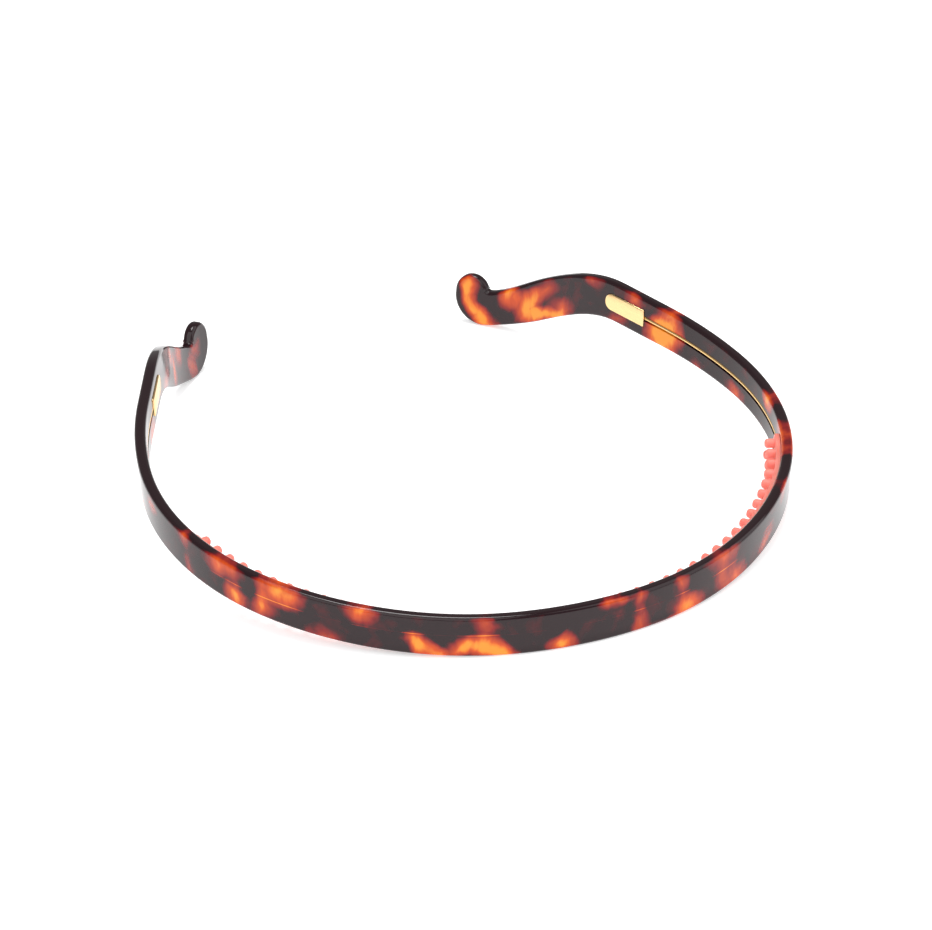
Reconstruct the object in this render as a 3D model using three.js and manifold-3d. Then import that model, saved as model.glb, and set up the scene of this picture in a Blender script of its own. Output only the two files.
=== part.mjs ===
// A spectacle-style headband: a thin acetate band bent to a horseshoe, with a sprung core wire and
// its two end plates let into the inner face, and a soft comb strip on the inside of the crown.
// Millimetres, +Z up. The crown is at the front (-Y), the two arms run back to tips at +Y, and the
// band lies on the lower edge of the crown and on the two tips.
import * as THREE from 'three';
import * as BufferGeometryUtils from 'three/addons/utils/BufferGeometryUtils.js';
import Module from 'manifold-3d';

const wasm = await Module();
wasm.setup();

// --- Driving dimensions ---------------------------------------------------------------------
const BAND_THICKNESS = 2.5;
const CROWN_HEIGHT = 8.9;
const ARM_HEIGHT = 9.5;
const NECK_HEIGHT = 8.2; // just behind each tip
const EDGE_RADIUS = 0.8; // tumbled edge of the acetate

// Half of the plan, from the middle of the crown to a tip, as arcs and straights that meet smoothly.
const PLAN = [
  { radius: 71.3, degrees: 53.9 }, // front of the crown
  { radius: 58.6, degrees: 45.4 }, // shoulder
  { radius: 92, degrees: 14.8 }, // easing into the arm
  { length: 30.9 }, // straight arm
  { radius: 68.4, degrees: 24.7 }, // tip turning in behind the ear
];

// The arms climb away from the surface, then each end dips back down to it.
const CLIMB_DEGREES = 6.9;
const CLIMB_START = 0.8; // plan depth that stays level, so the crown has a flat underside
const CLIMB_EASE = 3;
const DIP = 18.34; // brings the heel of each tip down to the surface
const DIP_LENGTH = 47;
const ARM_LEAN_DEGREES = 3.5; // the arms lean out at the top
const LEAN_LENGTH = 110;

// Tip outline, seen square to the face and measured from the end of the band.
const LOBE_RADIUS = 4.1;
const LOBE_CENTRE = 4.2;
const LOBE_RISE = 3.3;
const HEEL_CENTRE = 6.9;
const HEEL_RISE = 2.1;
const HEEL_DROP = 6.9;
const NECK_START = 10;
const NECK_LENGTH = 14;

const JOINT_GAP = 0.3; // clearance between pieces that touch
const GROOVE_WIDTH = 1.5;
const GROOVE_DEPTH = 1.5;
const WIRE_DIAMETER = GROOVE_WIDTH - 2 * JOINT_GAP;
const PLATE_LENGTH = 11.6;
const PLATE_WIDTH = 4;
const PLATE_THICKNESS = 0.9;
const PLATE_PROUD = 0.3; // how far a plate stands above the inner face
const PLATE_FROM_TIP = 43.8;

const COMB_HALF_LENGTH = 87.2;
const COMB_OFFSET = -2.5; // the strip is glued a little to the left of the crown's middle
const COMB_WIDTH = 6.2;
const COMB_BASE = 0.9;
const COMB_BEVEL = 0.5;
const TOOTH_PITCH = 4.05; // the outer teeth end just inside the ends of the strip
const TOOTH_THICKNESS = 2;
const TOOTH_LENGTH = 2;
const ROW_HEIGHT = 1.5; // middle of each of the two rows of teeth, from the strip's middle
const TEETH_PER_SIDE = 21;
const ROOT_STEP = 0.15; // low ridge that joins the two teeth of a pair at the root

// --- Materials ------------------------------------------------------------------------------
const acetate = new THREE.MeshStandardMaterial({ color: 0x4a1f1c, roughness: 0.15, metalness: 0 });
const goldPlate = new THREE.MeshStandardMaterial({ color: 0xe8c98a, roughness: 0.25, metalness: 1 });
const goldWire = new THREE.MeshStandardMaterial({ color: 0xe6b866, roughness: 0.3, metalness: 1 });
const silicone = new THREE.MeshStandardMaterial({ color: 0xf58072, roughness: 0.55, metalness: 0 });

// --- The bent band as a coordinate system -----------------------------------------------------
const radians = THREE.MathUtils.degToRad;
const smooth = (u) => THREE.MathUtils.smoothstep(u, 0, 1);

const segmentLength = (segment) => segment.length ?? segment.radius * radians(segment.degrees);
const HALF_LENGTH = PLAN.reduce((total, segment) => total + segmentLength(segment), 0);

// Point and direction of the plan centre line at distance s from the middle of the crown.
function planAt(s) {
  let x = 0;
  let y = 0;
  let angle = 0;
  let left = s;
  for (const segment of PLAN) {
    const isLast = segment === PLAN[PLAN.length - 1];
    const step = isLast ? left : Math.min(left, segmentLength(segment));
    if (segment.length) {
      x += step * Math.cos(angle);
      y += step * Math.sin(angle);
    } else {
      const next = angle + step / segment.radius;
      x += segment.radius * (Math.sin(next) - Math.sin(angle));
      y += segment.radius * (Math.cos(angle) - Math.cos(next));
      angle = next;
    }
    left -= step;
    if (left <= 0) break;
  }
  return { x, y, angle };
}

function climbAt(y) {
  const run = Math.max(0, y - CLIMB_START);
  return Math.tan(radians(CLIMB_DEGREES)) * (run - CLIMB_EASE * (1 - Math.exp(-run / CLIMB_EASE)));
}

// Height of the middle of the band above the surface it lies on.
function middleAt(s) {
  const fromTip = HALF_LENGTH - s;
  return CROWN_HEIGHT / 2 + climbAt(planAt(s).y) - DIP * smooth(1 - fromTip / DIP_LENGTH);
}

// Half of the band's height, measured square to its run and then upright.
function halfHeightAt(s) {
  const fromTip = HALF_LENGTH - s;
  const arm = THREE.MathUtils.lerp(CROWN_HEIGHT, ARM_HEIGHT, smooth((s / HALF_LENGTH - 0.45) / 0.35));
  const square = THREE.MathUtils.lerp(NECK_HEIGHT, arm, smooth((fromTip - NECK_START) / NECK_LENGTH));
  const slope = middleAt(s + 0.5) - middleAt(s - 0.5);
  return (square / 2) * Math.hypot(1, slope);
}

// Lower and upper edge of the band at s, with the round heel and the lobe at the tip.
function edgesAt(s) {
  const fromTip = HALF_LENGTH - s;
  const neck = middleAt(HALF_LENGTH - NECK_START);
  let lower = middleAt(s) - halfHeightAt(s);
  let upper = middleAt(s) + halfHeightAt(s);
  if (fromTip < HEEL_CENTRE) {
    const across = (HEEL_CENTRE - fromTip) / HEEL_CENTRE;
    lower = neck + HEEL_RISE - HEEL_DROP * Math.sqrt(Math.max(0, 1 - across * across));
  } else if (fromTip < NECK_START) {
    const heel = neck + HEEL_RISE - HEEL_DROP;
    lower = THREE.MathUtils.lerp(heel, lower, smooth((fromTip - HEEL_CENTRE) / (NECK_START - HEEL_CENTRE)));
  }
  const lobe = LOBE_RADIUS ** 2 - (fromTip - LOBE_CENTRE) ** 2;
  const lobeTop = neck + LOBE_RISE + Math.sqrt(Math.max(0, lobe));
  if (fromTip < LOBE_CENTRE) {
    upper = lobeTop;
  } else if (lobe > 0) {
    upper = Math.max(upper, lobeTop);
  }
  return { lower, upper };
}

// A point of the bent band: s along it, outward from its middle surface, z above the ground.
function bend(s, outward, z, side) {
  const { x, y, angle } = planAt(s);
  const lean = Math.tan(radians(ARM_LEAN_DEGREES * smooth(s / LEAN_LENGTH)));
  const offset = outward + (z - middleAt(s)) * lean;
  return new THREE.Vector3(side * (x + offset * Math.sin(angle)), y - offset * Math.cos(angle), z);
}

// --- Geometry helpers -------------------------------------------------------------------------
// Moves every vertex of a closed geometry, and turns its faces over where the move mirrors it.
function reshape(geometry, move, mirrored) {
  const positions = geometry.attributes.position;
  const point = new THREE.Vector3();
  for (let i = 0; i < positions.count; i += 1) {
    point.fromBufferAttribute(positions, i);
    const moved = move(point);
    positions.setXYZ(i, moved.x, moved.y, moved.z);
  }
  geometry.deleteAttribute('normal');
  geometry.deleteAttribute('uv');
  const merged = BufferGeometryUtils.mergeVertices(geometry, 1e-4);
  if (mirrored) {
    const index = merged.index.array;
    for (let i = 0; i < index.length; i += 3) {
      [index[i], index[i + 1]] = [index[i + 1], index[i]];
    }
  }
  return merged;
}

function toSolid(geometry) {
  return new wasm.Manifold(new wasm.Mesh({
    numProp: 3,
    vertProperties: new Float32Array(geometry.attributes.position.array),
    triVerts: new Uint32Array(geometry.index.array),
  }));
}

function toGeometry(solid) {
  const mesh = solid.getMesh();
  const geometry = new THREE.BufferGeometry();
  geometry.setAttribute('position', new THREE.BufferAttribute(mesh.vertProperties, 3));
  geometry.setIndex(new THREE.BufferAttribute(mesh.triVerts, 1));
  return geometry;
}

// A rectangle with round corners about the origin, width along X and height along Y.
function roundedRectangle(width, height, radius) {
  const x = width / 2;
  const y = height / 2;
  const shape = new THREE.Shape();
  shape.moveTo(x, -y + radius);
  shape.lineTo(x, y - radius);
  shape.absarc(x - radius, y - radius, radius, 0, Math.PI / 2);
  shape.lineTo(-x + radius, y);
  shape.absarc(-x + radius, y - radius, radius, Math.PI / 2, Math.PI);
  shape.lineTo(-x, -y + radius);
  shape.absarc(-x + radius, -y + radius, radius, Math.PI, 1.5 * Math.PI);
  shape.lineTo(x - radius, -y);
  shape.absarc(x - radius, -y + radius, radius, 1.5 * Math.PI, 2 * Math.PI);
  return shape;
}

// --- Band -------------------------------------------------------------------------------------
const BAND_STEPS = 64;
const END_ROUND = 1.1; // the band thins to a round edge over its last millimetre
const END_TRIM = 0.12;
const GROOVE_STEPS = 44;
const PLATE_INNER_END = HALF_LENGTH - PLATE_FROM_TIP - PLATE_LENGTH;
const PLATE_MIDDLE = PLATE_INNER_END + PLATE_LENGTH / 2;

// Half of the band as a straight bar, drawn out to the band's edges and bent to its plan.
function bandBlank(side) {
  const section = roundedRectangle(BAND_THICKNESS, CROWN_HEIGHT, EDGE_RADIUS);
  const bar = new THREE.ExtrudeGeometry(section, {
    depth: 1,
    steps: BAND_STEPS,
    bevelEnabled: false,
    curveSegments: 2,
  });
  const start = JOINT_GAP / 2;
  const run = HALF_LENGTH - END_TRIM - start;
  const move = (point) => {
    const s = start + run * (1 - (1 - point.z) ** 1.6);
    const { lower, upper } = edgesAt(s);
    const fromTip = Math.min(END_ROUND, HALF_LENGTH - s);
    const thin = Math.sqrt(1 - 0.85 * (1 - fromTip / END_ROUND) ** 2);
    const z = THREE.MathUtils.lerp(lower, upper, point.y / CROWN_HEIGHT + 0.5);
    return bend(s, point.x * thin, z, side);
  };
  return toSolid(reshape(bar, move, side > 0));
}

const INNER_FACE = -BAND_THICKNESS / 2;

// The groove that the core wire lies in, open on the inner face, from the cut to the end plate.
function grooveCutter(side) {
  const height = GROOVE_DEPTH + 1;
  const bar = new THREE.BoxGeometry(height, GROOVE_WIDTH, 1, 1, 1, GROOVE_STEPS);
  const end = PLATE_INNER_END + JOINT_GAP;
  const move = (point) => {
    const s = (point.z + 0.5) * end;
    const outward = INNER_FACE + GROOVE_DEPTH - height / 2 + point.x;
    return bend(s, outward, middleAt(s) + point.y, side);
  };
  return toSolid(reshape(bar, move, side > 0));
}

// Outline of an end plate: square at the wire, half round towards the tip.
function plateOutline(length, width) {
  const shape = new THREE.Shape();
  shape.moveTo(0, -width / 2);
  shape.lineTo(length - width / 2, -width / 2);
  shape.absarc(length - width / 2, 0, width / 2, -Math.PI / 2, Math.PI / 2);
  shape.lineTo(0, width / 2);
  shape.closePath();
  return shape;
}

// A flat piece of that outline, laid on the inner face where the arm is straight.
function platePiece(side, clearance, bottom, top) {
  const outline = plateOutline(PLATE_LENGTH + 2 * clearance, PLATE_WIDTH + 2 * clearance);
  const plate = new THREE.ExtrudeGeometry(outline, {
    depth: top - bottom,
    bevelEnabled: false,
    curveSegments: 8,
  });
  const slope = middleAt(PLATE_MIDDLE + 0.5) - middleAt(PLATE_MIDDLE - 0.5);
  const lean = Math.tan(radians(ARM_LEAN_DEGREES));
  const { x, y, angle } = planAt(PLATE_MIDDLE);
  const move = (point) => {
    const along = point.x - clearance - PLATE_LENGTH / 2;
    const up = along * slope + point.y;
    const outward = INNER_FACE - bottom - point.z + point.y * lean;
    return new THREE.Vector3(
      side * (x + along * Math.cos(angle) + outward * Math.sin(angle)),
      y + along * Math.sin(angle) - outward * Math.cos(angle),
      middleAt(PLATE_MIDDLE) + up,
    );
  };
  return reshape(plate, move, side > 0);
}

function bandHalf(side) {
  const recess = toSolid(platePiece(side, JOINT_GAP, PLATE_PROUD - PLATE_THICKNESS - JOINT_GAP, 1));
  return toGeometry(bandBlank(side).subtract(grooveCutter(side)).subtract(recess));
}

// --- Core wire --------------------------------------------------------------------------------
const WIRE_STEPS = 80;
const WIRE_HALF_LENGTH = PLATE_INNER_END - JOINT_GAP;

class GroovePath extends THREE.Curve {
  getPoint(t, target = new THREE.Vector3()) {
    const s = (2 * t - 1) * WIRE_HALF_LENGTH;
    const outward = INNER_FACE + GROOVE_DEPTH - JOINT_GAP - WIRE_DIAMETER / 2;
    return target.copy(bend(Math.abs(s), outward, middleAt(Math.abs(s)), Math.sign(s) || 1));
  }
}

function coreWire() {
  const section = new THREE.Shape().absarc(0, 0, WIRE_DIAMETER / 2, 0, 2 * Math.PI);
  return new THREE.ExtrudeGeometry(section, {
    steps: WIRE_STEPS,
    extrudePath: new GroovePath(),
    curveSegments: 4,
  });
}

// --- Comb strip -------------------------------------------------------------------------------
const COMB_BACK = INNER_FACE - JOINT_GAP; // outward place of the strip's glued side
const COMB_STEPS = 88;

// Plan outline of the strip: the glued side, then the toothed side back again.
function combOutline() {
  const points = [];
  const place = (along, outward) => {
    const s = along + COMB_OFFSET;
    const point = bend(Math.abs(s), outward, middleAt(Math.abs(s)), Math.sign(s) || 1);
    points.push(new THREE.Vector2(point.x, point.y));
  };
  for (let i = -TEETH_PER_SIDE; i <= TEETH_PER_SIDE; i += 1) {
    place((i / TEETH_PER_SIDE) * COMB_HALF_LENGTH, COMB_BACK);
  }
  const radius = TOOTH_THICKNESS / 2;
  const front = COMB_BACK - COMB_BASE;
  place(COMB_HALF_LENGTH, COMB_BACK - COMB_BASE / 2);
  for (let i = TEETH_PER_SIDE; i >= -TEETH_PER_SIDE; i -= 1) {
    const centre = i * TOOTH_PITCH;
    place(centre + radius, front);
    for (let k = 0; k <= 4; k += 1) {
      const turn = (k / 4) * Math.PI;
      const rounded = TOOTH_LENGTH - radius + radius * Math.sin(turn);
      place(centre + radius * Math.cos(turn), front - rounded);
    }
    place(centre - radius, front);
  }
  place(-COMB_HALF_LENGTH, COMB_BACK - COMB_BASE / 2);
  return new THREE.Shape(points);
}

// A bent bar that clears the teeth away between two heights and leaves the strip behind them.
function rowCutter(low, high) {
  const depth = TOOTH_LENGTH + 1;
  const bar = new THREE.BoxGeometry(depth, high - low, 1, 1, 1, COMB_STEPS);
  const move = (point) => {
    const s = COMB_OFFSET + 2 * point.z * (COMB_HALF_LENGTH + 1);
    const outward = COMB_BACK - COMB_BASE - ROOT_STEP - depth / 2 + point.x;
    const moved = bend(Math.abs(s), outward, middleAt(Math.abs(s)), Math.sign(s) || 1);
    moved.z = CROWN_HEIGHT / 2 + climbAt(moved.y) + (low + high) / 2 + point.y;
    return moved;
  };
  return toSolid(reshape(bar, move, true));
}

function combStrip() {
  const strip = new THREE.ExtrudeGeometry(combOutline(), {
    depth: COMB_WIDTH - 2 * COMB_BEVEL,
    bevelEnabled: true,
    bevelSize: COMB_BEVEL / 2,
    bevelOffset: -COMB_BEVEL / 2,
    bevelThickness: COMB_BEVEL,
    bevelSegments: 1,
  });
  const lift = CROWN_HEIGHT / 2 - COMB_WIDTH / 2 + COMB_BEVEL;
  const move = (point) => new THREE.Vector3(point.x, point.y, point.z + lift + climbAt(point.y));
  const room = COMB_WIDTH / 2;
  const inner = ROW_HEIGHT - TOOTH_THICKNESS / 2;
  const outer = ROW_HEIGHT + TOOTH_THICKNESS / 2;
  const teeth = toSolid(reshape(strip, move, false))
    .subtract(rowCutter(-inner, inner))
    .subtract(rowCutter(outer, room + 1))
    .subtract(rowCutter(-room - 1, -outer));
  return toGeometry(teeth);
}

// --- Assembly ---------------------------------------------------------------------------------
const headband = new THREE.Group();

function addPiece(name, geometry, material) {
  const mesh = new THREE.Mesh(geometry, material);
  mesh.name = name;
  headband.add(mesh);
}

const plateBottom = PLATE_PROUD - PLATE_THICKNESS;
addPiece('band_left_half', bandHalf(-1), acetate);
addPiece('band_right_half', bandHalf(1), acetate);
addPiece('left_end_plate', platePiece(-1, 0, plateBottom, PLATE_PROUD), goldPlate);
addPiece('right_end_plate', platePiece(1, 0, plateBottom, PLATE_PROUD), goldPlate);
addPiece('core_wire', coreWire(), goldWire);
addPiece('comb_strip', combStrip(), silicone);

// The origin is under the middle of the whole headband, on the surface it lies on.
const box = new THREE.Box3().setFromObject(headband);
headband.position.set(0, -(box.min.y + box.max.y) / 2, -box.min.z);

export default headband;
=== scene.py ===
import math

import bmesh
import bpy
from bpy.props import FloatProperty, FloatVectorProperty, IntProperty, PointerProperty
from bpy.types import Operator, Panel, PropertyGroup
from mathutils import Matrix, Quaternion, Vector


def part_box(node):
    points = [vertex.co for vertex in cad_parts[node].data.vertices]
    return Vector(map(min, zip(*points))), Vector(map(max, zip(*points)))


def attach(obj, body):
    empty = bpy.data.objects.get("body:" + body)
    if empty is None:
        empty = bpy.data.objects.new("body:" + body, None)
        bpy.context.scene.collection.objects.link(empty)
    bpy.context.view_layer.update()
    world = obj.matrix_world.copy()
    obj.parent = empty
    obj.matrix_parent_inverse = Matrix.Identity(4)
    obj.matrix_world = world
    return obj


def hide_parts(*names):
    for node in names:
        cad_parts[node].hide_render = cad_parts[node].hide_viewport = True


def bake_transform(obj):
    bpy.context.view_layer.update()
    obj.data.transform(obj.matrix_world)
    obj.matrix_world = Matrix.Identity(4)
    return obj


bl_info = {
    "name": "Spectacle Headband",
    "version": (1, 0, 0),
    "blender": (4, 5, 0),
    "location": "View3D > Sidebar > Headband",
    "description": "Builds a tortoiseshell headband with a core wire, end plates and a comb strip",
    "category": "Add Mesh",
}

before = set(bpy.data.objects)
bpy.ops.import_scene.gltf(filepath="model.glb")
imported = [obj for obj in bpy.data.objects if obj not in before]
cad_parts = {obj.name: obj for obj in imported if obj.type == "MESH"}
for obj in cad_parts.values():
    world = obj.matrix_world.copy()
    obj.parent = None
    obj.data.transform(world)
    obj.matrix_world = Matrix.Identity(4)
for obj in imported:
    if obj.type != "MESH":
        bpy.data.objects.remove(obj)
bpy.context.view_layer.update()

MM = 0.001
LEFT_BODY = "left_half"
RIGHT_BODY = "right_half"

# How far forward the crown reaches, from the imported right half.
CROWN_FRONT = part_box("band_right_half")[0][1]


# --- Sizes and colours a user would change ---------------------------------------------------

def length(name, description, millimetres):
    """A length property, given in millimetres and kept in metres."""
    return FloatProperty(
        name=name, description=description, default=millimetres * MM, unit="LENGTH", subtype="DISTANCE"
    )


def angle(name, description, degrees):
    """An angle property, given in degrees and kept in radians."""
    return FloatProperty(
        name=name, description=description, default=math.radians(degrees), unit="ROTATION", subtype="ANGLE"
    )


def colour(name, description, value):
    """A linear colour property."""
    return FloatVectorProperty(
        name=name, description=description, default=value, size=3, min=0.0, max=1.0, subtype="COLOR"
    )


class HeadbandBandSettings(PropertyGroup):
    thickness: length("Thickness", "Thickness of the acetate", 2.5)
    crown_height: length("Crown height", "Height of the band at the crown", 8.9)
    arm_height: length("Arm height", "Height of the band along the arms", 9.5)
    neck_height: length("Neck height", "Height of the band just behind each tip", 8.2)
    edge_radius: length("Edge radius", "Radius of the tumbled edges", 0.85)
    front_radius: length("Front radius", "Radius of the crown's front", 71.3)
    front_angle: angle("Front angle", "Half of the angle that the front covers", 53.9)
    shoulder_radius: length("Shoulder radius", "Radius between the front and an arm", 58.6)
    shoulder_angle: angle("Shoulder angle", "Angle that a shoulder covers", 45.4)
    ease_radius: length("Ease radius", "Radius where the shoulder runs into the arm", 92.0)
    ease_angle: angle("Ease angle", "Angle that the ease covers", 14.8)
    arm_length: length("Arm length", "Length of the straight arm", 30.9)
    tip_radius: length("Tip radius", "Radius of the tip's inward turn", 68.4)
    tip_angle: angle("Tip angle", "Angle that the tip turns in", 24.7)
    climb: angle("Climb", "Slope at which the arms leave the surface", 6.9)
    dip: length("Dip", "How far each tip drops back to the surface", 18.34)
    dip_length: length("Dip length", "Length of the arm over which it drops", 47.0)
    lean: angle("Lean", "How far the arms lean out at the top", 3.5)
    lobe_radius: length("Lobe radius", "Radius of the lobe on top of a tip", 4.1)
    heel_radius: length("Heel radius", "Radius of the round heel under a tip", 6.9)
    groove_width: length("Groove width", "Width of the wire's groove", 1.3)
    groove_depth: length("Groove depth", "Depth of the wire's groove", 1.5)
    dark: colour("Dark", "Ground colour of the acetate", (0.016, 0.005, 0.007))
    wine: colour("Wine", "Darkest red at the edge of a patch", (0.06, 0.004, 0.007))
    red: colour("Red", "Red inside a patch", (0.24, 0.009, 0.009))
    orange: colour("Orange", "Orange inside a patch", (0.64, 0.075, 0.008))
    amber: colour("Amber", "Amber at the heart of a patch", (0.90, 0.30, 0.026))


class HeadbandWireSettings(PropertyGroup):
    diameter: length("Diameter", "Diameter of the core wire", 0.9)
    clearance: length("Clearance", "Gap between the wire and the bottom of its groove", 0.55)
    gold: colour("Gold", "Colour of the wire", (0.93, 0.63, 0.28))


class HeadbandPlateSettings(PropertyGroup):
    length: length("Length", "Length of an end plate", 11.6)
    width: length("Width", "Width of an end plate", 4.0)
    thickness: length("Thickness", "Thickness of an end plate", 0.9)
    proud: length("Proud", "How far a plate stands above the inner face", 0.3)
    from_tip: length("From tip", "Distance from the end of the band to a plate", 43.8)
    clearance: length("Clearance", "Gap around a plate in its recess", 0.08)
    gold: colour("Gold", "Colour of the plates", (0.93, 0.66, 0.33))


class HeadbandCombSettings(PropertyGroup):
    half_length: length("Half length", "Half of the strip's length along the band", 87.2)
    width: length("Width", "Width of the strip across the band", 6.2)
    base: length("Base", "Thickness of the strip under its teeth", 1.0)
    tooth_length: length("Tooth length", "How far the teeth stand out of the strip", 2.1)
    tooth_width: length("Tooth width", "Width of a tooth, both along and across the band", 1.9)
    row_height: length("Row height", "Middle of each of the two rows, from the strip's middle", 1.4)
    pitch: length("Pitch", "Distance from tooth to tooth", 4.05)
    teeth: IntProperty(name="Teeth", description="Number of teeth in a row", default=43, min=1)
    offset: length("Offset", "How far the strip sits to the right of the crown's middle", -2.5)
    clearance: length("Clearance", "Bond line between the strip and the inner face", 0.05)
    coral: colour("Coral", "Colour of the silicone", (0.87, 0.23, 0.18))


class HeadbandStageSettings(PropertyGroup):
    floor_size: length("Floor size", "Side of the square floor", 6000.0)
    focal_length: FloatProperty(name="Focal length", description="Lens of the camera, in millimetres",
                                default=127.56, min=1.0)
    elevation: angle("Elevation", "Height of the camera above the surface", 28.055)
    azimuth: angle("Azimuth", "Turn of the camera to the left of the crown", 21.924)
    distance: length("Distance", "Distance of the camera along its view", 716.43)


# --- The bent band as a coordinate system ----------------------------------------------------

CLIMB_START = 0.8 * MM
CLIMB_EASE = 3.0 * MM
LEAN_LENGTH = 110.0 * MM
NECK_START = 10.0 * MM
NECK_LENGTH = 14.0 * MM
LOBE_CENTRE = 4.2 * MM
LOBE_RISE = 3.3 * MM
HEEL_RISE = 2.1 * MM
LOBE_TURN = 171.0  # degrees of the lobe's arc, from the end of the band to the notch
NOTCH_ROUND = 0.8 * MM
WIDENING_START = 0.45  # of the half length, where the band starts to get higher
WIDENING_LENGTH = 0.35  # of the half length


def smooth(u):
    """Smooth step from 0 to 1."""
    u = min(1.0, max(0.0, u))
    return u * u * (3.0 - 2.0 * u)


def mix(a, b, u):
    """The value u of the way from a to b."""
    return a + (b - a) * u


class BandShape:
    """The run and the outline of the band, from its settings."""

    def __init__(self, sizes):
        self.sizes = sizes
        self.segments = (
            (sizes.front_radius, sizes.front_angle),
            (sizes.shoulder_radius, sizes.shoulder_angle),
            (sizes.ease_radius, sizes.ease_angle),
            (None, sizes.arm_length),
            (sizes.tip_radius, sizes.tip_angle),
        )
        self.half_length = sum(self.run(segment) for segment in self.segments)
        self.neck_middle = self.middle(self.half_length - NECK_START)

    @staticmethod
    def run(segment):
        """Length of one arc or straight of the plan."""
        radius, extent = segment
        return radius * extent if radius else extent

    def plan(self, s):
        """Plan place and direction at distance s from the middle of the crown."""
        x = 0.0
        y = 0.0
        heading = 0.0
        left = s
        for radius, extent in self.segments:
            step = min(left, self.run((radius, extent)))
            if radius:
                ahead = heading + step / radius
                x += radius * (math.sin(ahead) - math.sin(heading))
                y += radius * (math.cos(heading) - math.cos(ahead))
                heading = ahead
            else:
                x += step * math.cos(heading)
                y += step * math.sin(heading)
            left -= step
        return x, y, heading

    def climb(self, y):
        """How far the middle of the band has climbed at plan depth y."""
        run = max(0.0, y - CLIMB_START)
        return math.tan(self.sizes.climb) * (run - CLIMB_EASE * (1.0 - math.exp(-run / CLIMB_EASE)))

    def middle(self, s):
        """Height of the middle of the band above the surface."""
        s = abs(s)
        drop = self.sizes.dip * smooth(1.0 - (self.half_length - s) / self.sizes.dip_length)
        return self.sizes.crown_height / 2 + self.climb(self.plan(s)[1]) - drop

    def slope(self, s):
        """Rise of the middle of the band per length."""
        step = 0.5 * MM
        return (self.middle(s + step) - self.middle(s - step)) / (2 * step)

    def half_height(self, s):
        """Upright half of the band's height."""
        s = abs(s)
        sizes = self.sizes
        from_tip = self.half_length - s
        widening = (s / self.half_length - WIDENING_START) / WIDENING_LENGTH
        arm = mix(sizes.crown_height, sizes.arm_height, smooth(widening))
        square = mix(sizes.neck_height, arm, smooth((from_tip - NECK_START) / NECK_LENGTH))
        return square / 2 * math.hypot(1.0, self.slope(s))

    def lean(self, s):
        """Outward lean of the faces per height."""
        return math.tan(self.sizes.lean * smooth(abs(s) / LEAN_LENGTH))


def band_shape():
    """The band's shape at the scene's present settings."""
    return BandShape(bpy.context.scene.headband_band)


def arc_points(centre, radius, start, end, count):
    """count + 1 points of an arc, in degrees, as (s, z)."""
    points = []
    for i in range(count + 1):
        turn = math.radians(mix(start, end, i / count))
        points.append((centre[0] + radius * math.cos(turn), centre[1] + radius * math.sin(turn)))
    return points


ARM_STATIONS = 100
TIP_STATIONS = 5
HEEL_STEPS = 20
LOBE_STEPS = 26


def arm_stations(shape):
    """Distances from the crown at which the right half is divided, up to the neck of its tip."""
    neck = shape.half_length - NECK_START
    return [neck * i / ARM_STATIONS for i in range(ARM_STATIONS + 1)]


def half_outline(shape):
    """Outline of the right half laid out straight, from the crown's lower edge round the tip
    to its upper edge, as (s, height above the middle line)."""
    sizes = shape.sizes
    end = shape.half_length
    arm = [(s, shape.half_height(s)) for s in arm_stations(shape)]
    heel = (end - sizes.heel_radius, shape.neck_middle + HEEL_RISE)
    lobe = (end - LOBE_CENTRE, shape.neck_middle + LOBE_RISE)
    around = arc_points(heel, sizes.heel_radius, 270.0, 360.0, HEEL_STEPS)
    around += arc_points(lobe, sizes.lobe_radius, 0.0, LOBE_TURN, LOBE_STEPS)
    tip = [(s, z - shape.middle(s)) for s, z in around]
    return [(s, -half) for s, half in arm] + tip + arm[::-1]


# --- Modelling helpers -----------------------------------------------------------------------

def deselect_all():
    """Object mode with nothing selected."""
    if bpy.context.object and bpy.context.object.mode != "OBJECT":
        bpy.ops.object.mode_set(mode="OBJECT")
    bpy.ops.object.select_all(action="DESELECT")


def pick(piece):
    """Makes one object the only selected one, and the active one."""
    deselect_all()
    piece.select_set(True)
    bpy.context.view_layer.objects.active = piece


def select_in_edit(kind, test):
    """Selects the faces or edges of the mesh in edit mode that pass a test."""
    bpy.ops.mesh.select_mode(type="FACE" if kind == "faces" else "EDGE")
    bpy.ops.mesh.select_all(action="DESELECT")
    mesh = bmesh.from_edit_mesh(bpy.context.object.data)
    chosen = [item for item in getattr(mesh, kind) if test(item)]
    for item in chosen:
        item.select = True
    mesh.select_flush_mode()
    bmesh.update_edit_mesh(bpy.context.object.data)
    if not chosen:
        raise RuntimeError("nothing to select on " + bpy.context.object.name)


def apply_modifier(piece, kind, **values):
    """Adds a modifier with those values and applies it."""
    pick(piece)
    modifier = piece.modifiers.new(kind.title(), kind)
    for key, value in values.items():
        setattr(modifier, key, value)
    bpy.ops.object.modifier_apply(modifier=modifier.name)


def mesh_from_outline(name, points):
    """A closed loop of edges through flat points, converted from a curve."""
    curve = bpy.data.curves.new(name, "CURVE")
    curve.dimensions = "3D"
    spline = curve.splines.new("POLY")
    spline.points.add(len(points) - 1)
    for point, (s, z) in zip(spline.points, points):
        point.co = (s, 0.0, z, 1.0)
    spline.use_cyclic_u = True
    piece = bpy.data.objects.new(name, curve)
    bpy.context.collection.objects.link(piece)
    pick(piece)
    bpy.ops.object.convert(target="MESH")
    return bpy.context.object


END_HANDLE = 1.0 * MM  # handle past each end of the path, where nothing bends


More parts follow.
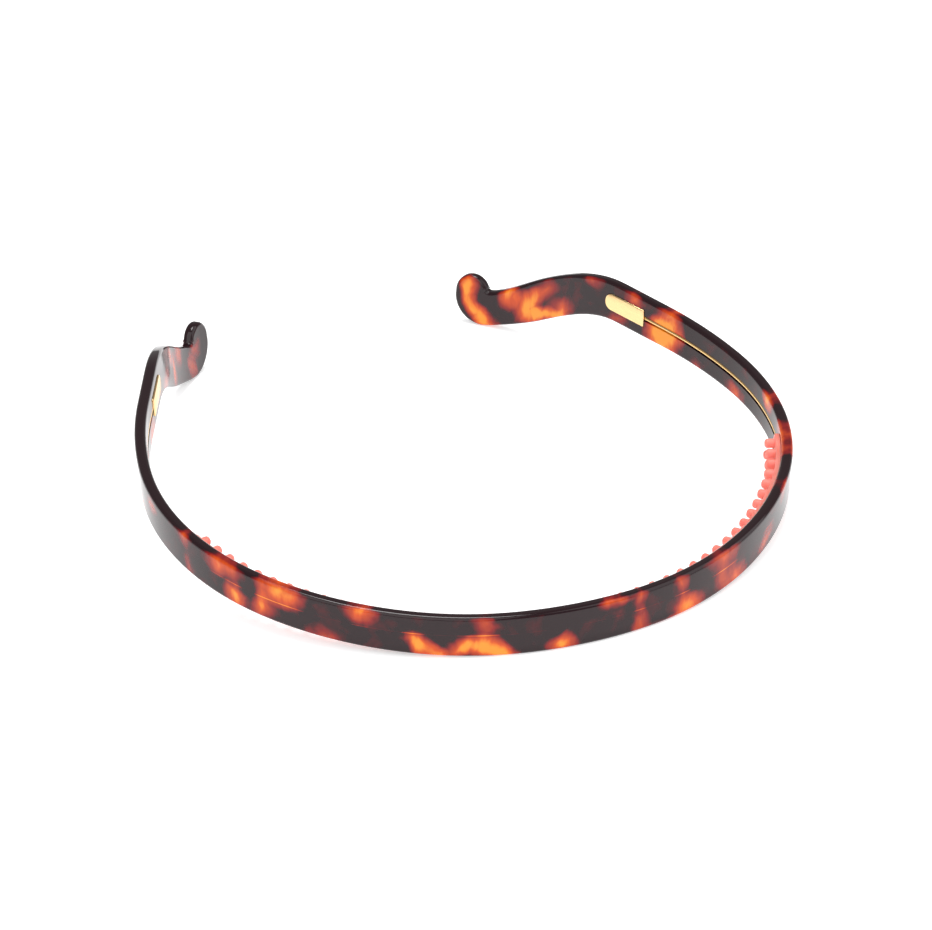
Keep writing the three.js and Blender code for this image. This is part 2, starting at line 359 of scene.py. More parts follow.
def plan_path(shape):
    """The band's plan as a curve from the left tip to the right tip, for bending flat pieces."""
    marks = [0.0]
    for segment in shape.segments:
        marks.append(marks[-1] + shape.run(segment))
    marks = [-mark for mark in reversed(marks[1:])] + marks
    curve = bpy.data.curves.new("plan_path", "CURVE")
    curve.dimensions = "2D"
    curve.resolution_u = 64
    spline = curve.splines.new("BEZIER")
    spline.bezier_points.add(len(marks) - 1)
    knots = []
    for mark in marks:
        x, y, heading = shape.plan(abs(mark))
        side = -1.0 if mark < 0 else 1.0
        direction = Vector((math.cos(heading), side * math.sin(heading), 0.0))
        knots.append((Vector((side * x, y, 0.0)), direction))
    for i, point in enumerate(spline.bezier_points):
        place, direction = knots[i]
        point.handle_left_type = "FREE"
        point.handle_right_type = "FREE"
        point.co = place
        before = handle_reach(shape, marks, i - 1)
        after = handle_reach(shape, marks, i)
        point.handle_left = place - direction * before
        point.handle_right = place + direction * after
    path = bpy.data.objects.new("plan_path", curve)
    bpy.context.collection.objects.link(path)
    return path


def handle_reach(shape, marks, i):
    """Handle length of the path between marks i and i + 1, exact for an arc."""
    if i < 0 or i >= len(marks) - 1:
        return END_HANDLE
    run = marks[i + 1] - marks[i]
    start = shape.plan(abs(marks[i]))[2]
    end = shape.plan(abs(marks[i + 1]))[2]
    turn = abs(end - start)
    if turn < 1e-6:
        return run / 3.0
    return 4.0 / 3.0 * math.tan(turn / 4.0) * run / turn


def bend_to_band(piece, shape):
    """Takes a straight piece along the band: up its climb, out with its lean and round its plan.

    A straight piece has x along the band from the crown, y towards the inner face and z up from
    the middle line. Its straight place is kept in the attribute "sheet", for the materials.
    """
    mesh = piece.data
    flat = mesh.attributes.new("sheet", "FLOAT_VECTOR", "POINT")
    for vertex in mesh.vertices:
        s, y, z = vertex.co
        flat.data[vertex.index].vector = (s, y, z)
        vertex.co = (s + shape.half_length, y - z * shape.lean(s), z + shape.middle(s))
    path = plan_path(shape)
    apply_modifier(piece, "CURVE", object=path, deform_axis="POS_X")
    curve = path.data
    bpy.data.objects.remove(path)
    bpy.data.curves.remove(curve)
    mesh.transform(Matrix.Translation((0.0, CROWN_FRONT + shape.sizes.thickness / 2, 0.0)))


def shade_smooth(piece, degrees):
    """Smooth shading, with an edge wherever faces meet more sharply than that."""
    pick(piece)
    bpy.ops.object.shade_smooth_by_angle(angle=math.radians(degrees))


# --- Materials -------------------------------------------------------------------------------

def new_material(name):
    """A node material, its nodes and its Principled shader."""
    material = bpy.data.materials.new(name)
    material.use_nodes = True
    return material, material.node_tree, material.node_tree.nodes["Principled BSDF"]


def add_node(tree, kind, **values):
    """A node with those properties set."""
    node = tree.nodes.new("ShaderNode" + kind)
    for key, value in values.items():
        setattr(node, key, value)
    return node


def math_node(tree, operation, first, second=None):
    """Output of a Math node on two sockets or numbers."""
    node = add_node(tree, "Math", operation=operation)
    for socket, value in zip(node.inputs, (first, second)):
        if value is None:
            continue
        if isinstance(value, bpy.types.NodeSocket):
            tree.links.new(value, socket)
        else:
            socket.default_value = value
    return node.outputs["Value"]


def ramp_node(tree, factor, stops):
    """Colour output of a ramp through those (position, colour) stops."""
    node = add_node(tree, "ValToRGB")
    tree.links.new(factor, node.inputs["Fac"])
    elements = node.color_ramp.elements
    while len(elements) < len(stops):
        elements.new(0.5)
    for element, (position, value) in zip(elements, stops):
        element.position = position
        element.color = (*value, 1.0)
    return node.outputs["Color"]


# Light patches of the acetate sheet: place along the band from the crown, with the left negative,
# height from the middle line, half length and half height in millimetres, strength, and tilt in
# degrees.
PATCHES = (
    # left arm
    (-191, 3, 4, 3, 0.6, 0), (-188, -1, 3, 5, 0.6, 20), (-180, 2.5, 3, 4, 0.75, -10),
    (-176, -1, 2.5, 5, 0.7, 0), (-172, 2, 3, 4, 0.65, 0), (-163, -3, 6, 3, 0.7, 10),
    (-150, -2, 6, 3, 0.7, 0), (-138, -2.5, 6, 3, 0.85, -15), (-124, 0, 5, 3, 0.65, 0),
    (-113, -3, 6, 3, 0.6, 0), (-103, 2.5, 4, 2.5, 0.5, 0),
    # front, from the left shoulder to the right one
    (-88, 4, 4, 3, 0.7, 0), (-87.5, -3, 3, 4, 0.55, 0), (-76.5, 3.5, 6, 4, 0.85, 0),
    (-73.5, -2.5, 4, 4, 1.1, 0), (-63, 3.5, 7, 5, 1.25, 0), (-66.5, -2, 4, 4, 1.0, 0),
    (-53.5, -4, 6, 3, 0.6, 0), (-46, 4, 5, 4, 0.9, 0), (-33, -2.5, 7, 3, 1.35, 38),
    (-26, -2, 6, 2.5, 1.0, -20), (-20, -3, 8, 2.8, 1.35, 25), (-20.5, 3, 3, 5, 0.65, -15),
    (-5.5, -2.8, 4.5, 2.6, 1.15, 12), (5.5, 4.4, 5, 2.4, 0.8, 0), (11.5, 4, 2.5, 5, 0.6, 0),
    (11.5, -2.5, 3, 4, 0.7, 0), (16.5, -4.5, 5, 2, 0.65, 0), (21.5, 3, 3, 5, 0.6, 0),
    (23, -3.2, 6, 4, 1.05, 15), (33.5, 3.5, 6, 5, 0.7, 20), (37, -3, 7, 4.5, 0.9, 15),
    (52, -2, 6, 4, 0.5, 0), (62, 4, 5, 3, 0.5, 0), (80, 4.5, 10, 4, 0.95, 0), (86, -3, 5, 4, 0.7, 0),
    # right arm
    (95.5, 3.4, 5, 3, 1.0, 0), (111, -4.3, 5, 3, 0.65, 0), (125.5, -4.3, 3, 2.6, 0.5, 0),
    (134.5, 1, 5.5, 9, 1.25, 0), (137.5, -3, 6, 6, 1.2, 0), (145, 4, 4, 3, 0.75, 0),
    (150.5, -3.6, 4, 2.2, 0.5, 0), (158, 4, 4, 2.4, 0.5, 0), (168, -3, 5, 3.6, 1.0, 0),
    (173, -4, 7, 2.6, 1.3, -8), (177.5, -0.5, 5, 5, 1.45, -25), (173, 2, 4, 3, 0.6, 0),
    (183, 3.5, 4, 4.5, 1.05, -20), (188, -4, 5.5, 2.8, 1.0, -25), (191, -0.5, 3, 5, 1.2, 35),
    (193.5, 5, 3, 6, 1.3, 10),
)
PATCH_DEPTH = 30.0  # millimetres, so that a patch goes right through the sheet
CORE_LINE_HEIGHT = 0.5  # millimetres above the middle line
CORE_LINE_WIDTH = 0.16  # half of it, in millimetres
LARGE_WANDER = (9.0, 2.2)  # size and reach of the patches' outlines, in millimetres
SMALL_WANDER = (2.6, 0.6)
STREAK_SQUEEZE = (0.42, 0.17, 0.12)  # streaks per millimetre along, through and up the sheet
STREAK_TILT = 12.0  # degrees
STREAK_SWING = 1.15
STREAK_LEAST = 0.36
CLOUD_SCALE = 0.22  # clouds per millimetre
CLOUD_MIDDLE = 0.52
CLOUD_SWING = 0.6
# Strength of the shade painted on the acetate's rims, where the sheet is seen edge on.
RIM_PAINTED_SHADE = 0.3


def patch_glow(tree, place, patches):
    """Sum of a soft spot for every patch, at a place in millimetres."""
    total = None
    for along, up, long, tall, strength, tilt in patches:
        spot = add_node(tree, "Mapping", vector_type="TEXTURE")
        spot.inputs["Location"].default_value = (along, 0.0, up)
        spot.inputs["Rotation"].default_value = (0.0, math.radians(tilt), 0.0)
        spot.inputs["Scale"].default_value = (long, PATCH_DEPTH, tall)
        tree.links.new(place, spot.inputs["Vector"])
        glow = add_node(tree, "TexGradient", gradient_type="SPHERICAL")
        tree.links.new(spot.outputs["Vector"], glow.inputs["Vector"])
        value = math_node(tree, "MULTIPLY", glow.outputs["Fac"], strength)
        total = value if total is None else math_node(tree, "ADD", total, value)
    return total


def wander(tree, place, size, reach):
    """The place in millimetres, pushed along and up the sheet by soft noise."""
    drift = add_node(tree, "TexNoise", noise_dimensions="3D")
    drift.inputs["Scale"].default_value = 1.0 / size
    drift.inputs["Detail"].default_value = 1.0
    tree.links.new(place, drift.inputs["Vector"])
    centred = add_node(tree, "VectorMath", operation="SUBTRACT")
    tree.links.new(drift.outputs["Color"], centred.inputs[0])
    centred.inputs[1].default_value = (0.5, 0.5, 0.5)
    push = add_node(tree, "VectorMath", operation="MULTIPLY_ADD")
    tree.links.new(centred.outputs["Vector"], push.inputs[0])
    push.inputs[1].default_value = (2.0 * reach, 0.0, 2.0 * reach)
    tree.links.new(place, push.inputs[2])
    return push.outputs["Vector"]


def rim_shade_mask(tree, place):
    """How near a point is to the middle of the thickness, where the sheet is seen edge on: the mask of the
    shade painted on the rims.
    """
    parts = add_node(tree, "SeparateXYZ")
    tree.links.new(place, parts.inputs["Vector"])
    away = math_node(tree, "ABSOLUTE", parts.outputs["Y"])
    near = add_node(tree, "MapRange", interpolation_type="SMOOTHSTEP")
    tree.links.new(away, near.inputs["Value"])
    near.inputs["From Min"].default_value = 1.2
    near.inputs["From Max"].default_value = 0.5
    return near.outputs["Result"]


def core_line(tree, place):
    """A thin line along the outer face, where the wire's groove shows through."""
    parts = add_node(tree, "SeparateXYZ")
    tree.links.new(place, parts.inputs["Vector"])
    away = math_node(tree, "SUBTRACT", parts.outputs["Z"], CORE_LINE_HEIGHT)
    away = math_node(tree, "ABSOLUTE", away)
    line = math_node(tree, "SUBTRACT", 1.0, math_node(tree, "DIVIDE", away, CORE_LINE_WIDTH))
    line = math_node(tree, "MAXIMUM", line, 0.0)
    outside = math_node(tree, "LESS_THAN", parts.outputs["Y"], -1.0)
    return math_node(tree, "MULTIPLY", line, outside)


def tortoiseshell(sizes):
    """Polished acetate: a dark ground with soft red, orange and amber patches, and painted shade on its
    rims.
    """
    material, tree, shader = new_material("polished_tortoiseshell")
    links = tree.links
    sheet = add_node(tree, "Attribute", attribute_name="sheet").outputs["Vector"]
    scale = add_node(tree, "VectorMath", operation="SCALE")
    links.new(sheet, scale.inputs[0])
    scale.inputs["Scale"].default_value = 1.0 / MM
    place = scale.outputs["Vector"]
    strayed = wander(tree, wander(tree, place, *LARGE_WANDER), *SMALL_WANDER)
    glow = patch_glow(tree, strayed, PATCHES)

    streaks = add_node(tree, "TexNoise", noise_dimensions="3D")
    squeeze = add_node(tree, "Mapping", vector_type="POINT")
    squeeze.inputs["Rotation"].default_value = (0.0, math.radians(STREAK_TILT), 0.0)
    squeeze.inputs["Scale"].default_value = STREAK_SQUEEZE
    links.new(strayed, squeeze.inputs["Vector"])
    links.new(squeeze.outputs["Vector"], streaks.inputs["Vector"])
    streaks.inputs["Scale"].default_value = 1.0
    streaks.inputs["Detail"].default_value = 3.0
    swing = math_node(tree, "MULTIPLY_ADD", streaks.outputs["Fac"], STREAK_SWING)
    swing.node.inputs[2].default_value = STREAK_LEAST
    glow = math_node(tree, "MULTIPLY", glow, swing)

    cloud = add_node(tree, "TexNoise", noise_dimensions="3D")
    cloud.inputs["Scale"].default_value = CLOUD_SCALE
    cloud.inputs["Detail"].default_value = 2.0
    links.new(strayed, cloud.inputs["Vector"])
    faint = math_node(tree, "SUBTRACT", cloud.outputs["Fac"], CLOUD_MIDDLE)
    depth = math_node(tree, "ADD", glow, math_node(tree, "MULTIPLY", faint, CLOUD_SWING))
    # Painted shade: the rims are darkened in colour to stand in for the deep look of the thick acetate
    # seen edge on. The floors of the groove and recesses lie mid-thickness and darken too.
    edge = math_node(tree, "MULTIPLY", rim_shade_mask(tree, place), RIM_PAINTED_SHADE)
    depth = math_node(tree, "SUBTRACT", depth, edge)
    shown = math_node(tree, "ADD", math_node(tree, "MULTIPLY", glow, 1.2), 0.06)
    line = math_node(tree, "MULTIPLY", core_line(tree, place), math_node(tree, "MINIMUM", shown, 0.6))
    depth = math_node(tree, "ADD", depth, line)
    links.new(ramp_node(tree, depth, (
        (0.02, tuple(sizes.dark)),
        (0.12, tuple(sizes.wine)),
        (0.28, tuple(sizes.red)),
        (0.66, tuple(sizes.orange)),
        (1.00, tuple(sizes.amber)),
    )), shader.inputs["Base Color"])
    shader.inputs["Roughness"].default_value = 0.07
    shader.inputs["IOR"].default_value = 1.47
    shader.inputs["Specular IOR Level"].default_value = 0.42
    return material


def gold(name, base, roughness, grain):
    """Pale gold metal with a fine drawn grain along its length."""
    material, tree, shader = new_material(name)
    sheet = add_node(tree, "Attribute", attribute_name="sheet").outputs["Vector"]
    stretch = add_node(tree, "Mapping", vector_type="POINT")
    stretch.inputs["Scale"].default_value = (400.0, 9000.0, 9000.0)
    tree.links.new(sheet, stretch.inputs["Vector"])
    lines = add_node(tree, "TexNoise", noise_dimensions="3D")
    lines.inputs["Scale"].default_value = 1.0
    lines.inputs["Detail"].default_value = 3.0
    tree.links.new(stretch.outputs["Vector"], lines.inputs["Vector"])
    low = tuple(0.86 * value for value in base)
    tree.links.new(ramp_node(tree, lines.outputs["Fac"], ((0.3, low), (0.7, tuple(base)))),
                   shader.inputs["Base Color"])
    spread = add_node(tree, "MapRange")
    tree.links.new(lines.outputs["Fac"], spread.inputs["Value"])
    spread.inputs["To Min"].default_value = roughness - 0.06
    spread.inputs["To Max"].default_value = roughness + 0.08
    tree.links.new(spread.outputs["Result"], shader.inputs["Roughness"])
    bump = add_node(tree, "Bump")
    bump.inputs["Strength"].default_value = grain
    bump.inputs["Distance"].default_value = 0.02 * MM
    tree.links.new(lines.outputs["Fac"], bump.inputs["Height"])
    tree.links.new(bump.outputs["Normal"], shader.inputs["Normal"])
    shader.inputs["Metallic"].default_value = 1.0
    return material


def coral_silicone(base):
    """Soft translucent coral silicone with a faint moulded bloom."""
    material, tree, shader = new_material("coral_silicone")
    sheet = add_node(tree, "Attribute", attribute_name="sheet").outputs["Vector"]
    cloud = add_node(tree, "TexNoise", noise_dimensions="3D")
    cloud.inputs["Scale"].default_value = 260.0
    cloud.inputs["Detail"].default_value = 4.0
    tree.links.new(sheet, cloud.inputs["Vector"])
    pale = tuple(min(1.0, value * 1.12 + 0.03) for value in base)
    tree.links.new(ramp_node(tree, cloud.outputs["Fac"], ((0.3, tuple(base)), (0.7, pale))),
                   shader.inputs["Base Color"])
    bump = add_node(tree, "Bump")
    bump.inputs["Strength"].default_value = 0.15
    bump.inputs["Distance"].default_value = 0.05 * MM
    tree.links.new(cloud.outputs["Fac"], bump.inputs["Height"])
    tree.links.new(bump.outputs["Normal"], shader.inputs["Normal"])
    shader.inputs["Roughness"].default_value = 0.42
    shader.inputs["Subsurface Weight"].default_value = 0.5
    shader.inputs["Subsurface Radius"].default_value = (1.0, 0.35, 0.25)
    shader.inputs["Subsurface Scale"].default_value = 1.2 * MM
    return material


# --- Pieces ----------------------------------------------------------------------------------

PLATE_END_ROUND = 0.98  # of half the plate's width
PLATE_EDGE_ROUND = 0.22 * MM
WIRE_END_ROUND = 0.3  # of the wire's radius
STRIP_END_ROUND = 0.5  # of half the strip's width
STRIP_EDGE_ROUND = 0.32  # of the strip's thickness
TOOTH_ROUND = 0.47  # of the tooth's width
TOOTH_DOME = 0.34  # of the tooth's width
PARALLEL = 0.99  # least cosine of a direction taken as along an axis


def finish_piece(piece, slot, material, *nodes):
    """Gives a piece its material and hides the CAD solids it stands for. The slot is not used."""
    piece.data.materials.clear()
    piece.data.materials.append(material)
    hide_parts(*nodes)


def bend_with_crown(piece):
    """Bakes the piece's placement into its mesh."""
    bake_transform(piece)


def plate_end(shape, plate):
    """Distance from the crown to the inner end of a plate."""
    return shape.half_length - plate.from_tip - plate.length


def box_in_edit(name, low, high):
    """A new box from one corner to the other, left in edit mode."""
    deselect_all()
    bpy.ops.mesh.primitive_cube_add(size=1.0)
    piece = bpy.context.object
    piece.name = name
    size = Vector(high) - Vector(low)
    middle = (Vector(high) + Vector(low)) / 2
    bpy.ops.object.mode_set(mode="EDIT")
    bpy.ops.mesh.select_all(action="SELECT")
    bpy.ops.transform.resize(value=size, center_override=(0.0, 0.0, 0.0))
    bpy.ops.transform.translate(value=middle)
    return piece


def runs_along(edge, axis):
    """Whether an edge runs along that axis, 0 to 2."""
    run = edge.verts[1].co - edge.verts[0].co
    return abs(run[axis]) > PARALLEL * run.length


def bisect_all(axis, places):
    """Divides all of the mesh in edit mode square to an axis at those places."""
    normal = [0.0, 0.0, 0.0]
    normal[axis] = 1.0
    for place in places:
        bpy.ops.mesh.select_all(action="SELECT")
        bpy.ops.mesh.bisect(plane_co=[place * value for value in normal], plane_no=normal)


def plate_blank(name, shape, plate, side, spare, low, high):
    """A plate's outline as a solid from y = low to y = high, half round towards the tip."""
    near = plate_end(shape, plate) - spare
    far = near + plate.length + 2 * spare
    half = plate.width / 2 + spare
    ends = sorted((side * near, side * far))
    piece = box_in_edit(name, (ends[0], low, -half), (ends[1], high, half))
    middle = (near + far) / 2
    select_in_edit("edges", lambda edge: runs_along(edge, 1) and abs(edge.verts[0].co.x) > middle)
    bpy.ops.mesh.bevel(offset=half * PLATE_END_ROUND, segments=12, affect="EDGES")
    bpy.ops.object.mode_set(mode="OBJECT")
    return piece


class HEADBAND_OT_band(Operator):
    """Model the bent acetate band with its groove and its two plate recesses"""

    bl_idname = "headband.band"
    bl_label = "Band"

    def execute(self, context):
        sizes = context.scene.headband_band
        plate = context.scene.headband_plate
        shape = band_shape()
        piece = self.straight_bar(shape, sizes, plate)
        self.cut_groove(piece, shape, sizes, plate)
        self.cut_recesses(piece, shape, plate)
        bend_to_band(piece, shape)
        shade_smooth(piece, 32.0)
        apply_modifier(piece, "WEIGHTED_NORMAL", keep_sharp=True)
        finish_piece(piece, "acetate", tortoiseshell(sizes), "band_left_half", "band_right_half")
        bend_with_crown(piece)
        return {"FINISHED"}

    def straight_bar(self, shape, sizes, plate):
        """The band laid out straight: its outline filled, given its thickness and tumbled round."""
        right = half_outline(shape)
        left = [(-s, z) for s, z in reversed(right)]
        piece = mesh_from_outline("Band", right[:-1] + left[:-1])
        half = sizes.thickness / 2
        bpy.ops.object.mode_set(mode="EDIT")
        bpy.ops.mesh.select_all(action="SELECT")
        bpy.ops.mesh.edge_face_add()
        bpy.ops.transform.translate(value=(0.0, -half, 0.0))
        bpy.ops.mesh.extrude_region_move(TRANSFORM_OT_translate={"value": (0.0, 2 * half, 0.0)})
        bpy.ops.mesh.select_all(action="SELECT")
        bpy.ops.mesh.normals_make_consistent(inside=False)
        self.round_notches(shape, sizes)
        select_in_edit("edges", lambda edge: not runs_along(edge, 1))
        bpy.ops.mesh.bevel(offset=sizes.edge_radius, segments=6, affect="EDGES")
        stations = arm_stations(shape)[1:]
        neck = stations[-1]
        stations += [mix(neck, shape.half_length, i / TIP_STATIONS) for i in range(1, TIP_STATIONS)]
        stations.append(plate_end(shape, plate))
        bisect_all(0, [0.0] + stations + [-s for s in stations])
        bpy.ops.object.mode_set(mode="OBJECT")
        return piece

    def round_notches(self, shape, sizes):
        """Rounds the inner corner where each lobe rises from its arm."""
        turn = math.radians(LOBE_TURN)
        corner = shape.half_length - LOBE_CENTRE + sizes.lobe_radius * math.cos(turn)

        def in_notch(edge):
            place = edge.verts[0].co
            return runs_along(edge, 1) and place.z > 0.0 and abs(abs(place.x) - corner) < 0.05 * MM

        select_in_edit("edges", in_notch)
        bpy.ops.mesh.bevel(offset=NOTCH_ROUND, segments=6, affect="EDGES")

    def cut_groove(self, piece, shape, sizes, plate):
        """Marks the wire's groove along the middle of the inner face and pushes it in."""
        inner_end = plate_end(shape, plate)
        half = sizes.groove_width / 2
        pick(piece)
        bpy.ops.object.mode_set(mode="EDIT")

        def on_inner_face(face):
            return face.normal.y > PARALLEL and abs(face.calc_center_median().x) < inner_end

        for place in (-half, half):
            select_in_edit("faces", on_inner_face)
            bpy.ops.mesh.bisect(plane_co=(0.0, 0.0, place), plane_no=(0.0, 0.0, 1.0), threshold=1e-6)
        select_in_edit("faces", lambda face: on_inner_face(face)
                       and abs(face.calc_center_median().z) < half)
        bpy.ops.mesh.extrude_region_move(
            TRANSFORM_OT_translate={"value": (0.0, -sizes.groove_depth, 0.0)})
        bpy.ops.object.mode_set(mode="OBJECT")

    def cut_recesses(self, piece, shape, plate):
        """Cuts the recess of each end plate into the inner face."""
        inner = shape.sizes.thickness / 2
        floor = inner + plate.proud - plate.thickness - plate.clearance
        for side in (-1, 1):
            cutter = plate_blank("recess_cutter", shape, plate, side, plate.clearance,
                                 floor, inner + plate.thickness)
            apply_modifier(piece, "BOOLEAN", object=cutter, operation="DIFFERENCE", solver="EXACT")
            bpy.data.objects.remove(cutter)


class HEADBAND_OT_core_wire(Operator):
    """Lay the gold core wire in the groove of the band"""

    bl_idname = "headband.core_wire"
    bl_label = "Core Wire"

    def execute(self, context):
        sizes = context.scene.headband_band
        wire = context.scene.headband_wire
        plate = context.scene.headband_plate
        shape = band_shape()
        half = plate_end(shape, plate) - plate.clearance
        radius = wire.diameter / 2
        depth = sizes.thickness / 2 - sizes.groove_depth + wire.clearance + radius
        deselect_all()
        bpy.ops.mesh.primitive_cylinder_add(vertices=24, radius=radius, depth=2 * half)
        piece = context.object
        piece.name = "Core_Wire"
        bpy.ops.object.mode_set(mode="EDIT")
        bpy.ops.mesh.select_all(action="SELECT")
        bpy.ops.transform.rotate(value=math.pi / 2, orient_axis="Y", center_override=(0.0, 0.0, 0.0))
        bpy.ops.transform.translate(value=(0.0, depth, 0.0))
        select_in_edit("edges", lambda edge: not runs_along(edge, 0))
        bpy.ops.mesh.bevel(offset=WIRE_END_ROUND * radius, segments=3, affect="EDGES")
        bisect_all(0, [half * i / ARM_STATIONS for i in range(1 - ARM_STATIONS, ARM_STATIONS)])
        bpy.ops.object.mode_set(mode="OBJECT")
        bend_to_band(piece, shape)
        shade_smooth(piece, 40.0)
        finish_piece(piece, "gold_wire", gold("drawn_gold_wire", wire.gold, 0.24, 0.3), "core_wire")
        bend_with_crown(piece)
        return {"FINISHED"}


class HEADBAND_OT_end_plates(Operator):
    """Model the two gold plates let into the arms"""

    bl_idname = "headband.end_plates"
    bl_label = "End Plates"

    def execute(self, context):
        plate = context.scene.headband_plate
        shape = band_shape()
        material = gold("polished_gold_plate", plate.gold, 0.2, 0.12)
        high = shape.sizes.thickness / 2 + plate.proud
        low = high - plate.thickness
        for side, body, node in ((-1, LEFT_BODY, "left_end_plate"), (1, RIGHT_BODY, "right_end_plate")):
            piece = plate_blank(node.title(), shape, plate, side, 0.0, low, high)
            apply_modifier(piece, "BEVEL", width=PLATE_EDGE_ROUND, segments=3, limit_method="ANGLE",
                           angle_limit=math.radians(50.0))
            bend_to_band(piece, shape)
            shade_smooth(piece, 30.0)
            finish_piece(piece, "gold_plate", material, node)
            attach(piece, body)
        return {"FINISHED"}


class HEADBAND_OT_comb(Operator):
    """Model the toothed silicone strip inside the crown"""

    bl_idname = "headband.comb"
    bl_label = "Comb Strip"

    def execute(self, context):
        comb = context.scene.headband_comb
        shape = band_shape()
        piece = self.strip(shape, comb)
        self.teeth(piece, comb)
        bpy.ops.object.mode_set(mode="OBJECT")
        bend_to_band(piece, shape)
        shade_smooth(piece, 50.0)
        finish_piece(piece, "silicone", coral_silicone(tuple(comb.coral)), "comb_strip")
        bend_with_crown(piece)
        return {"FINISHED"}

    def strip(self, shape, comb):
        """The flat strip with rounded ends, divided at both sides of every tooth."""
        back = shape.sizes.thickness / 2 + comb.clearance
        half = comb.width / 2
        piece = box_in_edit("Comb_Strip", (comb.offset - comb.half_length, back, -half),
                            (comb.offset + comb.half_length, back + comb.base, half))
        select_in_edit("edges", lambda edge: runs_along(edge, 1))
        bpy.ops.mesh.bevel(offset=STRIP_END_ROUND * half, segments=5, affect="EDGES")
        select_in_edit("edges", lambda edge: not runs_along(edge, 1)
                       and edge.verts[0].co.y > back + comb.base / 2)
        bpy.ops.mesh.bevel(offset=STRIP_EDGE_ROUND * comb.base, segments=3, affect="EDGES")
        reach = comb.tooth_width / 2
        places = []
        for middle in self.tooth_places(comb):
            places += [middle - reach, middle + reach]
        bisect_all(0, places)
        rows = (-comb.row_height, comb.row_height)
        bisect_all(2, [row + side * reach for row in rows for side in (-1, 1)])
        return piece

    def tooth_places(self, comb):
        """Middles of the teeth along the band."""
        first = comb.offset - comb.pitch * (comb.teeth - 1) / 2
        return [first + i * comb.pitch for i in range(comb.teeth)]

    def teeth(self, piece, comb):
        """Pulls two rows of teeth out of the strip and rounds them into domed pegs."""
        first = self.tooth_places(comb)[0]
        within = comb.tooth_width / 4

        def from_tooth(x):
            step = (x - first) / comb.pitch
            return abs(step - round(step)) * comb.pitch

        def is_root(face):
            middle = face.calc_center_median()
            from_row = abs(abs(middle.z) - comb.row_height)
            return face.normal.y > PARALLEL and from_row < within and from_tooth(middle.x) < within

        select_in_edit("faces", is_root)
        bpy.ops.mesh.extrude_region_move(
            TRANSFORM_OT_translate={"value": (0.0, comb.tooth_length, 0.0)})
        top = max(vertex.co.y for vertex in bmesh.from_edit_mesh(piece.data).verts)
        root = top - comb.tooth_length
        select_in_edit("edges", lambda edge: runs_along(edge, 1)
                       and (edge.verts[0].co.y + edge.verts[1].co.y) / 2 > root + within)
        bpy.ops.mesh.bevel(offset=TOOTH_ROUND * comb.tooth_width, segments=4, affect="EDGES")
        select_in_edit("edges", lambda edge: all(vertex.co.y > top - 1e-6 for vertex in edge.verts))
        bpy.ops.mesh.bevel(offset=TOOTH_DOME * comb.tooth_width, segments=4, affect="EDGES")


# The camera aims at a place this far across and up its own view from the origin.
AIM_ACROSS = 3.473 * MM
AIM_UP = 2.987 * MM
CAMERA_ROLL = math.radians(0.305)


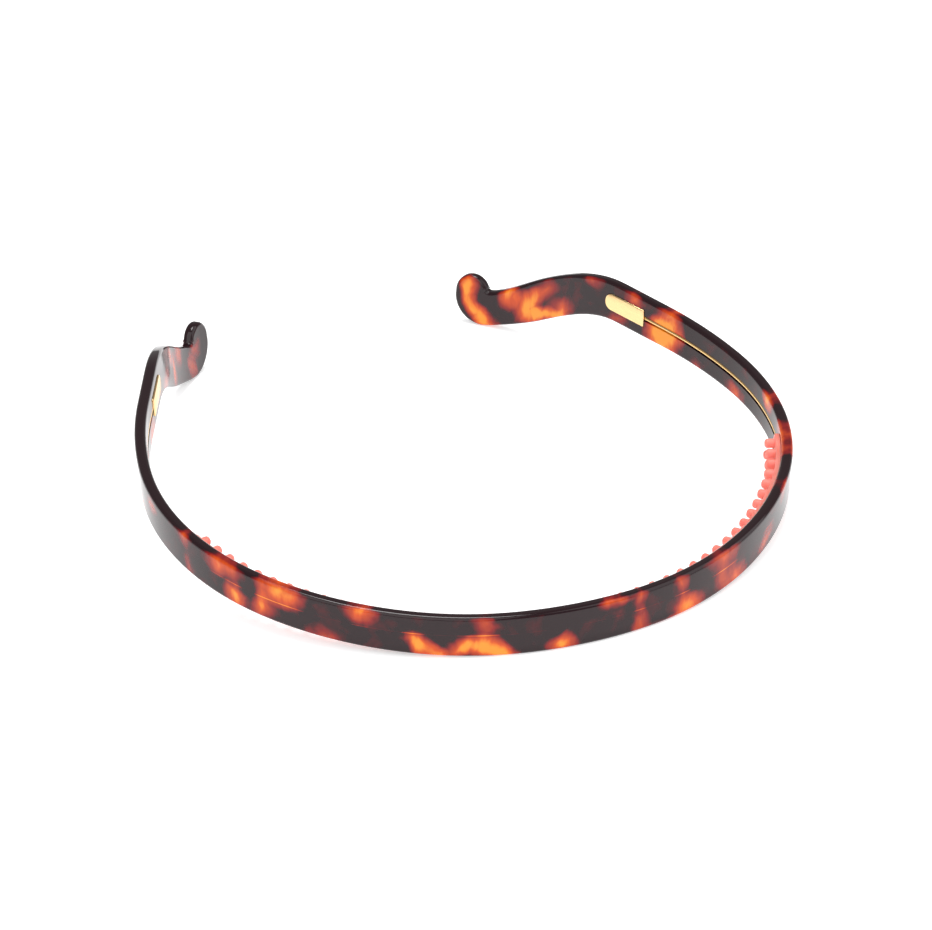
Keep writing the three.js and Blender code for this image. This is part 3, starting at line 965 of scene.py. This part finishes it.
class HEADBAND_OT_stage(Operator):
    """Set out the pale floor, the soft studio light and the camera"""

    bl_idname = "headband.stage"
    bl_label = "Stage"

    def execute(self, context):
        stage = context.scene.headband_stage
        context.scene.view_settings.view_transform = "Standard"
        self.floor(stage)
        self.lights()
        self.camera(context, stage)
        return {"FINISHED"}

    def floor(self, stage):
        """A plain pale floor under the headband."""
        deselect_all()
        bpy.ops.mesh.primitive_plane_add(size=stage.floor_size)
        floor = bpy.context.object
        floor.name = "Floor"
        material, _, shader = new_material("pale_floor")
        shader.inputs["Base Color"].default_value = (0.93, 0.93, 0.93, 1.0)
        shader.inputs["Roughness"].default_value = 0.9
        shader.inputs["Specular IOR Level"].default_value = 0.1
        shader.inputs["Emission Color"].default_value = (1.0, 1.0, 1.0, 1.0)
        shader.inputs["Emission Strength"].default_value = 0.45
        floor.data.materials.append(material)

    def lights(self):
        """Soft boxes to both sides and above, in a pale room."""
        world = bpy.data.worlds.new("Studio")
        world.use_nodes = True
        background = world.node_tree.nodes["Background"]
        background.inputs["Color"].default_value = (1.0, 1.0, 1.0, 1.0)
        background.inputs["Strength"].default_value = 0.32
        bpy.context.scene.world = world
        boxes = (
            ("Key_Light", (-1.0, -1.1, 1.3), 2.2, 21.0),
            ("Fill_Light", (1.3, -0.7, 1.1), 2.0, 15.0),
            ("Top_Light", (0.0, 0.25, 1.7), 0.7, 14.0),
        )
        for name, place, size, power in boxes:
            light = bpy.data.lights.new(name, "AREA")
            light.energy = power
            light.size = size
            lamp = bpy.data.objects.new(name, light)
            lamp.location = place
            lamp.rotation_euler = (-Vector(place)).to_track_quat("-Z", "Y").to_euler()
            bpy.context.collection.objects.link(lamp)

    def camera(self, context, stage):
        """The camera in front of the crown, to its left and above it."""
        lens = bpy.data.cameras.new("Camera")
        lens.lens = stage.focal_length
        lens.sensor_width = 36.0
        lens.clip_end = 20.0
        camera = bpy.data.objects.new("Camera", lens)
        context.collection.objects.link(camera)
        level = Vector((math.sin(stage.azimuth), math.cos(stage.azimuth), 0.0))
        forward = level * math.cos(stage.elevation) - Vector((0.0, 0.0, math.sin(stage.elevation)))
        across = Vector((level.y, -level.x, 0.0))
        up = across.cross(forward)
        aim = across * AIM_ACROSS + up * AIM_UP
        camera.location = aim - forward * stage.distance
        roll = Quaternion((0.0, 0.0, 1.0), -CAMERA_ROLL)
        camera.rotation_euler = (forward.to_track_quat("-Z", "Y") @ roll).to_euler()
        context.scene.camera = camera


# --- Panel and registration ------------------------------------------------------------------

STEPS = (
    (HEADBAND_OT_band, "headband_band"),
    (HEADBAND_OT_core_wire, "headband_wire"),
    (HEADBAND_OT_end_plates, "headband_plate"),
    (HEADBAND_OT_comb, "headband_comb"),
    (HEADBAND_OT_stage, "headband_stage"),
)

GROUPS = (
    ("headband_band", HeadbandBandSettings),
    ("headband_wire", HeadbandWireSettings),
    ("headband_plate", HeadbandPlateSettings),
    ("headband_comb", HeadbandCombSettings),
    ("headband_stage", HeadbandStageSettings),
)


class HEADBAND_PT_panel(Panel):
    """The headband's pieces, each with its sizes and colours"""

    bl_idname = "HEADBAND_PT_panel"
    bl_label = "Spectacle Headband"
    bl_space_type = "VIEW_3D"
    bl_region_type = "UI"
    bl_category = "Headband"

    def draw(self, context):
        for operator, group in STEPS:
            box = self.layout.box()
            box.operator(operator.bl_idname)
            settings = getattr(context.scene, group)
            for name in settings.__annotations__:
                box.prop(settings, name)


def register():
    for name, group in GROUPS:
        bpy.utils.register_class(group)
        setattr(bpy.types.Scene, name, PointerProperty(type=group))
    for operator, _ in STEPS:
        bpy.utils.register_class(operator)
    bpy.utils.register_class(HEADBAND_PT_panel)


def unregister():
    bpy.utils.unregister_class(HEADBAND_PT_panel)
    for operator, _ in reversed(STEPS):
        bpy.utils.unregister_class(operator)
    for name, group in reversed(GROUPS):
        delattr(bpy.types.Scene, name)
        bpy.utils.unregister_class(group)


def main():
    register()
    bpy.ops.headband.band()
    bpy.ops.headband.core_wire()
    bpy.ops.headband.end_plates()
    bpy.ops.headband.comb()
    bpy.ops.headband.stage()


if __name__ == "__main__":
    main()
